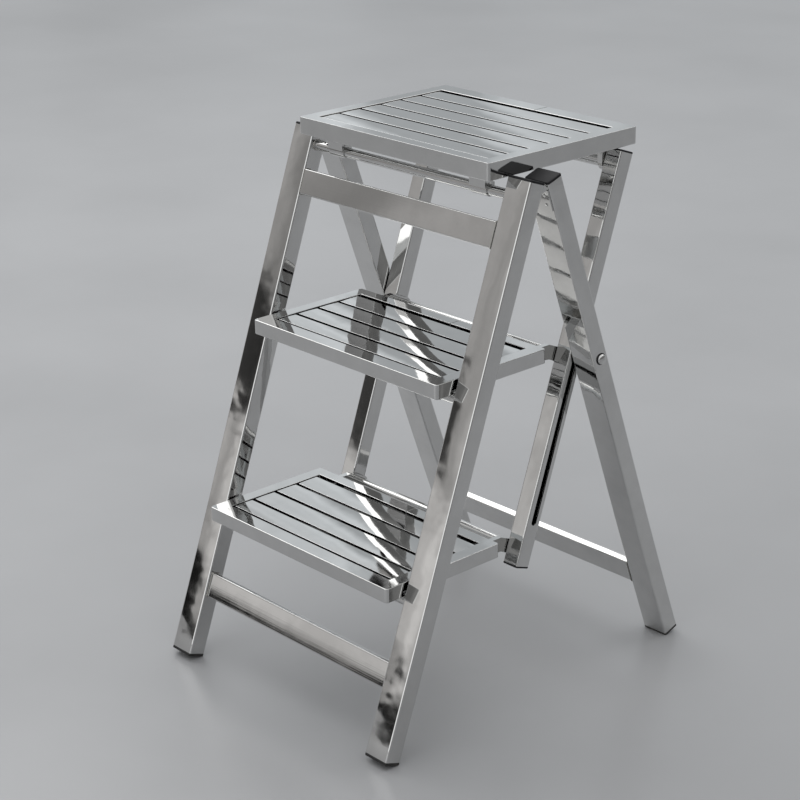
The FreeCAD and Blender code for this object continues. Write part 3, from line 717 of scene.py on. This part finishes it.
class STOOL_OT_rear_frame(bpy.types.Operator):
    """Rear legs with caps and feet, and their lower crossbar"""

    bl_idname = "stool.rear_frame"
    bl_label = "Rear frame"

    def execute(self, context):
        s = context.scene.stool_sizes
        axes, recess, tilt_share = rear_axes(s), 0.001, -0.3
        leg_pair("rear", "rear_frame", axes, s, s.rear_length, 1)
        crossbar("rear_lower_crossbar", "rear_frame", axes, s, recess, s.lower_bar,
                 tilt_share * s.bar_tilt)
        return {"FINISHED"}


class STOOL_OT_carrier_frame(bpy.types.Operator):
    """Slotted carrier legs with end caps, and the carrier's three round tubes"""

    bl_idname = "stool.carrier_frame"
    bl_label = "Carrier frame"

    def execute(self, context):
        s = context.scene.stool_sizes
        f = finishes()
        slotted_leg("left", -1, s)
        slotted_leg("right", 1, s)
        origin, deep, up = front_axes(s)
        width = s.carrier_out - s.carrier_in
        profile = box_profile(width, s.carrier_depth, s.leg_round)
        # how far each ring of a cap lies from its end, and how far it is drawn in
        back = np.array([0.0, 0.0001, 0.0003, 0.0008, 0.0022])
        draw = [0.0012, 0.0005, 0.0002, 0, 0]
        for end, at in (("top", s.carrier_top - back), ("bottom", s.carrier_low + back)):
            caps = [closed_ends(carried(profile, at, origin + X * sign * (s.carrier_in + width / 2)
                                        + deep * s.carrier_mid, X, deep, up, draw))
                    for sign in (-1, 1)]
            put_mesh("carrier_" + end + "_cap_pair", outward(caps), f["plastic"], "carrier_frame",
                     stands_for=("carrier_" + end + "_caps",))
        link = hinge_point("carrier_swing") - hinge_point("seat_fold")
        for name, joint, radius in (("top", "seat_fold", s.top_tube),
                                    ("middle", "middle_tread_fold", s.pivot_tube),
                                    ("lower", "lower_tread_fold", s.pivot_tube)):
            round_bar("carrier_" + name, "carrier_frame", hinge_point(joint) + link, radius,
                      s.carrier_in, s)
        return {"FINISHED"}


class STOOL_OT_treads(bpy.types.Operator):
    """Seat, middle tread and lower tread: bent rails, slats, tabs and lugs"""

    bl_idname = "stool.treads"
    bl_label = "Seat and treads"

    def execute(self, context):
        s = context.scene.stool_sizes
        tread("seat", "seat", s, s.seat_slats, s.corner_seat, s.seat_round, s.seat_shy,
              s.seat_open)
        for name in ("middle", "lower"):
            tread(name, name + "_tread", s, s.tread_slats, s.corner_front, s.rail_round,
                  s.slat_shy, s.tread_open)
        paint_nodes([name + end for name in ("seat", "middle", "lower")
                     for end in ("_front_tabs", "_rear_lugs")], finishes()["fitting"])
        return {"FINISHED"}


class STOOL_OT_fittings(bpy.types.Operator):
    """Slide bolts, hinge leaves, hinge pins and their rivets"""

    bl_idname = "stool.fittings"
    bl_label = "Bolts and hinges"

    def execute(self, context):
        s = context.scene.stool_sizes
        f = finishes()
        paint_nodes(["front_hinge_leaves", "rear_hinge_leaves", "hinge_pins"], f["fitting"])
        lo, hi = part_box("slide_bolts")
        centre = (lo + hi) / 2
        # profiles as distance along the axis and radius: a black ring that paints the shade round
        # the head, and the bolt's tip
        head_on, rim = 0.0008, s.bolt_head + 0.0010
        painted_shade_ring = [[-0.0004, rim], [0.0006, rim], [0.0009, s.bolt_head + 0.0007],
                  [0.0010, s.bolt_head * 0.6]]
        tip = [[-0.001, 0.0038], [0.0003, 0.0038], [0.0005, 0.0035], [0.0005, 0.0005]]
        bolts, painted_shade_rings = [], []
        for sign in (-1, 1):
            outer = np.array([sign * s.leg_out, centre.y, centre.z])
            inner = np.array([sign * (s.leg_out - s.leg_width), centre.y, centre.z])
            bolts.append(dome(outer + X * sign * head_on, X * sign, s.bolt_head,
                              s.bolt_rise - head_on))
            bolts.append(closed_ends(turned(tip, inner, -X * sign, 24)))
            painted_shade_rings.append(closed_ends(turned(painted_shade_ring, outer, X * sign, 36)))
        put_mesh("slide_bolt_pair", outward(bolts), f["fitting"], "rear_frame",
                 stands_for=("slide_bolts",))
        # the black rings round the bolt heads are painted shade
        put_mesh("slide_bolt_painted_shade_rings", outward(painted_shade_rings), f["plastic"], "rear_frame")
        leaf, radius, rise, out = 0.0015, 0.0021, 0.0007, s.leg_out - s.leg_width / 2
        hinge = hinge_point("rear_legs_fold")
        for body, (origin, deep, up), push in (("front_frame", front_axes(s), 1),
                                               ("rear_frame", rear_axes(s), -1)):
            plane = s.leg_depth + leaf if push > 0 else -leaf
            middle = origin + deep * plane + up * float(np.dot(hinge - origin, up))
            rivets = [dome(middle + X * (sign * out + across) + up * along, deep * push, radius,
                           rise, 16)
                      for sign in (-1, 1) for across in (-0.0085, 0.0085)
                      for along in (-0.011, -0.023)]
            put_mesh(body + "_hinge_rivets", outward(rivets), f["fitting"], body)
        return {"FINISHED"}


class STOOL_OT_stage(bpy.types.Operator):
    """Pale floor, soft studio light and the photograph's camera"""

    bl_idname = "stool.stage"
    bl_label = "Stage"

    def execute(self, context):
        scene = context.scene
        scene.view_settings.view_transform = "Standard"
        floor_sheet()
        studio_light()
        camera(scene)
        return {"FINISHED"}


def floor_sheet():
    """Pale floor: a round flat sheet of 6.5 m radius with a very soft mottle and a dull gloss."""
    radius = 6.5
    a = np.linspace(0, 2 * math.pi, 96, endpoint=False)
    rim = np.stack([radius * np.cos(a), radius * np.sin(a), 0 * a], 1)
    mesh = bpy.data.meshes.new("floor")
    mesh.from_pydata(rim.tolist(), [], [tuple(range(len(a)))])
    floor = bpy.data.objects.new("floor", mesh)
    bpy.context.scene.collection.objects.link(floor)
    material, tree = new_material("pale_floor")
    base = np.array(bpy.context.scene.stool_colours.floor)
    mottle = mapped(tree, noise(tree, 2.2, 5.0), 0.3, 0.7, 0.0, 1.0)
    surfaced(material, tree, {"Roughness": 0.3, "IOR": 1.45},
             blended(tree, mottle, base, base * 0.90))
    mesh.materials.append(material)


def between(tree, value, low, high, soft):
    """One from low to high and nought outside, over edges of twice the softness."""
    return maths(tree, "MULTIPLY", mapped(tree, value, low - soft, low + soft, 0.0, 1.0),
                 mapped(tree, value, high - soft, high + soft, 1.0, 0.0))


# The room all round, as the stool sees it: share of the turn, from the -X side anticlockwise,
# brightness, and how much cooler than grey it is. The window is the bright part.
ROOM = ((0.0, 0.60, 0.2), (0.06, 0.50, -0.4), (0.100, 0.42, -0.6), (0.112, 0.30, -0.6),
        (0.120, 0.34, -0.6), (0.128, 0.48, -0.6), (0.158, 0.52, -0.4), (0.172, 1.2, 0.2),
        (0.30, 1.2, 0.2), (0.325, 0.48, 0.0), (0.36, 0.30, 0.0), (0.42, 0.24, 0.0),
        (0.60, 0.17, 0.0), (0.70, 0.32, 0.4), (0.80, 0.52, 1.0), (0.88, 0.63, 1.2),
        (1.0, 0.60, 0.2))


def room_tones(ramp):
    """Sets a colour ramp to the room's near-greys. A cool value of one takes four percent off the
    red and adds three percent to the blue."""
    while len(ramp.elements) > 1:
        ramp.elements.remove(ramp.elements[-1])
    for k, (at, tone, cool) in enumerate(ROOM):
        e = ramp.elements[0] if k == 0 else ramp.elements.new(at)
        e.position = at
        e.color = (tone * (1 - 0.04 * cool), tone, tone * (1 + 0.03 * cool), 1)


def studio_light():
    """A room of soft light: pale drapes in soft upright folds all round, a tall window in front of
    the stool, a dim right-hand side, a dark streak at the horizon, a dark panel and a lit strip
    low on the left, and a bright ceiling, with one lamp high on the left and a weaker one behind.
    Heights are the upward part of the direction from the stool."""
    world = bpy.data.worlds.new("studio")
    bpy.context.scene.world = world
    world.use_nodes = True
    tree = world.node_tree
    tree.nodes.clear()
    place = add(tree, "ShaderNodeTexCoord").outputs["Generated"]
    part = add(tree, "ShaderNodeSeparateXYZ", Vector=place)
    level = part.outputs["Z"]
    azimuth = maths(tree, "ARCTAN2", part.outputs["Y"], part.outputs["X"])
    around = mapped(tree, azimuth, -math.pi, math.pi, 0.0, 1.0)
    room = add(tree, "ShaderNodeValToRGB", Fac=around)
    room_tones(room.color_ramp)
    folds = add(tree, "ShaderNodeTexNoise",
                {"noise_dimensions": "1D", "Scale": 14.0, "Detail": 2.0}, W=azimuth)
    fold_dark, fold_light = 0.74, 1.26
    fold_tone = mapped(tree, folds.outputs["Fac"], 0.3, 0.7, fold_dark, fold_light)
    rise = mapped(tree, level, 0.0, 0.3, 0.98, 1.04)
    # the streak at the horizon: dark and wavy, a little lower on the left, and raised in two
    # places, which the front feet mirror
    wave, slope, foot_rise, soft_edge, streak_dark = 0.012, 0.006, 0.0160, 0.008, 0.03
    streaks = add(tree, "ShaderNodeTexNoise", {"Scale": 1.0, "Detail": 1.0, "Roughness": 0.5},
                  Vector=add(tree, "ShaderNodeMapping", {"Scale": (5, 5, 40)},
                             Vector=place).outputs["Vector"])
    wobble = mapped(tree, streaks.outputs["Fac"], 0.3, 0.7, -wave, wave)
    height = maths(tree, "ADD", level, wobble)
    climb = mapped(tree, around, 0.118, 0.138, slope, -slope)
    at_feet = maths(tree, "ADD", between(tree, around, 0.112, 0.1222, 0.0012),
                    between(tree, around, 0.1340, 0.150, 0.0012))
    rim = maths(tree, "ADD", maths(tree, "ADD", height, climb),
                mapped(tree, at_feet, 0.0, 1.0, 0.0, -foot_rise))
    streak_tone = mapped(tree, rim, 0.0, soft_edge, streak_dark, 1.0)
    # a dark panel low in front of the drapes, with a lit strip under it
    panel_dark, strip_gain = 0.12, 1.6
    panel = maths(tree, "MULTIPLY", between(tree, around, 0.100, 0.1302, 0.0012),
                  between(tree, height, 0.088, 0.137, 0.004))
    strip = maths(tree, "MULTIPLY", between(tree, around, 0.106, 0.139, 0.003),
                  between(tree, level, 0.026, 0.082, 0.006))
    panel_tone = mapped(tree, panel, 0.0, 1.0, 1.0, panel_dark)
    strip_tone = mapped(tree, strip, 0.0, 1.0, 1.0, strip_gain)
    shade = fold_tone
    for tone in (rise, streak_tone, panel_tone, strip_tone):
        shade = maths(tree, "MULTIPLY", shade, tone)
    wall = add(tree, "ShaderNodeVectorMath", {"operation": "SCALE"}, i0=room.outputs["Color"],
               Scale=shade).outputs["Vector"]
    # beyond the floor's edge the room goes on in the floor's own tone
    floor_tone, ceiling = (0.40, 0.40, 0.41), (1.0, 1.0, 1.0)
    view = blended(tree, mapped(tree, level, -0.022, -0.015, 1.0, 0.0), wall, floor_tone)
    view = blended(tree, mapped(tree, level, 0.42, 0.72, 0.0, 1.0), view, ceiling)
    back = add(tree, "ShaderNodeBackground", {"Strength": 1.0}, Color=view)
    add(tree, "ShaderNodeOutputWorld", Surface=back.outputs["Background"])
    for name, at, target, size, power in (("key", (-2.2, 0.25, 2.5), (0, 0, 0.3), 2.1, 24),
                                          ("fill", (0.9, 2.8, 2.9), (0, 0, 0.4), 1.6, 8)):
        lamp = bpy.data.lights.new(name, "AREA")
        lamp.size, lamp.energy = size, power
        obj = bpy.data.objects.new(name, lamp)
        obj.location = at
        obj.rotation_euler = (Vector(target) - Vector(at)).to_track_quat("-Z", "Y").to_euler()
        bpy.context.scene.collection.objects.link(obj)


def camera(scene):
    """Camera from a fit to the photograph's edges: place, direction, roll and lens."""
    place, roll = (1.685, -1.5544, 1.1918), math.radians(-0.95)
    ahead = Vector((-0.6944, 0.6253, -0.3561)).normalized()
    focal_pixels, picture_pixels, sensor = 2084.56, 800, 36.0
    data = bpy.data.cameras.new("camera")
    data.sensor_width, data.lens = sensor, focal_pixels / picture_pixels * sensor
    data.clip_start, data.clip_end = 0.05, 60
    cam = bpy.data.objects.new("camera", data)
    scene.collection.objects.link(cam)
    right = Vector((ahead.y, -ahead.x, 0)).normalized()
    up = right.cross(ahead)
    r = right * math.cos(roll) + up * math.sin(roll)
    u = up * math.cos(roll) - right * math.sin(roll)
    cam.matrix_world = Matrix([(r[k], u[k], -ahead[k], place[k]) for k in range(3)]
                              + [(0, 0, 0, 1)])
    scene.camera = cam


class STOOL_PT_panel(bpy.types.Panel):
    """Sizes, colours and pieces of the stool"""

    bl_idname = "STOOL_PT_panel"
    bl_label = "Folding step stool"
    bl_space_type = "VIEW_3D"
    bl_region_type = "UI"
    bl_category = "Stool"

    def draw(self, context):
        layout = self.layout
        for group in (context.scene.stool_sizes, context.scene.stool_colours):
            column = layout.column()
            for key in group.__annotations__:
                column.prop(group, key)
        for operator in OPERATORS:
            layout.operator(operator.bl_idname)


OPERATORS = (STOOL_OT_stage, STOOL_OT_front_frame, STOOL_OT_rear_frame, STOOL_OT_carrier_frame,
             STOOL_OT_treads, STOOL_OT_fittings)
CLASSES = (StoolSizes, StoolColours, *OPERATORS, STOOL_PT_panel)


def register():
    for c in CLASSES:
        bpy.utils.register_class(c)
    bpy.types.Scene.stool_sizes = PointerProperty(type=StoolSizes)
    bpy.types.Scene.stool_colours = PointerProperty(type=StoolColours)


def unregister():
    del bpy.types.Scene.stool_colours
    del bpy.types.Scene.stool_sizes
    for c in reversed(CLASSES):
        bpy.utils.unregister_class(c)


def main():
    register()
    bpy.ops.stool.stage()
    bpy.ops.stool.front_frame()
    bpy.ops.stool.rear_frame()
    bpy.ops.stool.carrier_frame()
    bpy.ops.stool.treads()
    bpy.ops.stool.fittings()


if __name__ == "__main__":
    main()
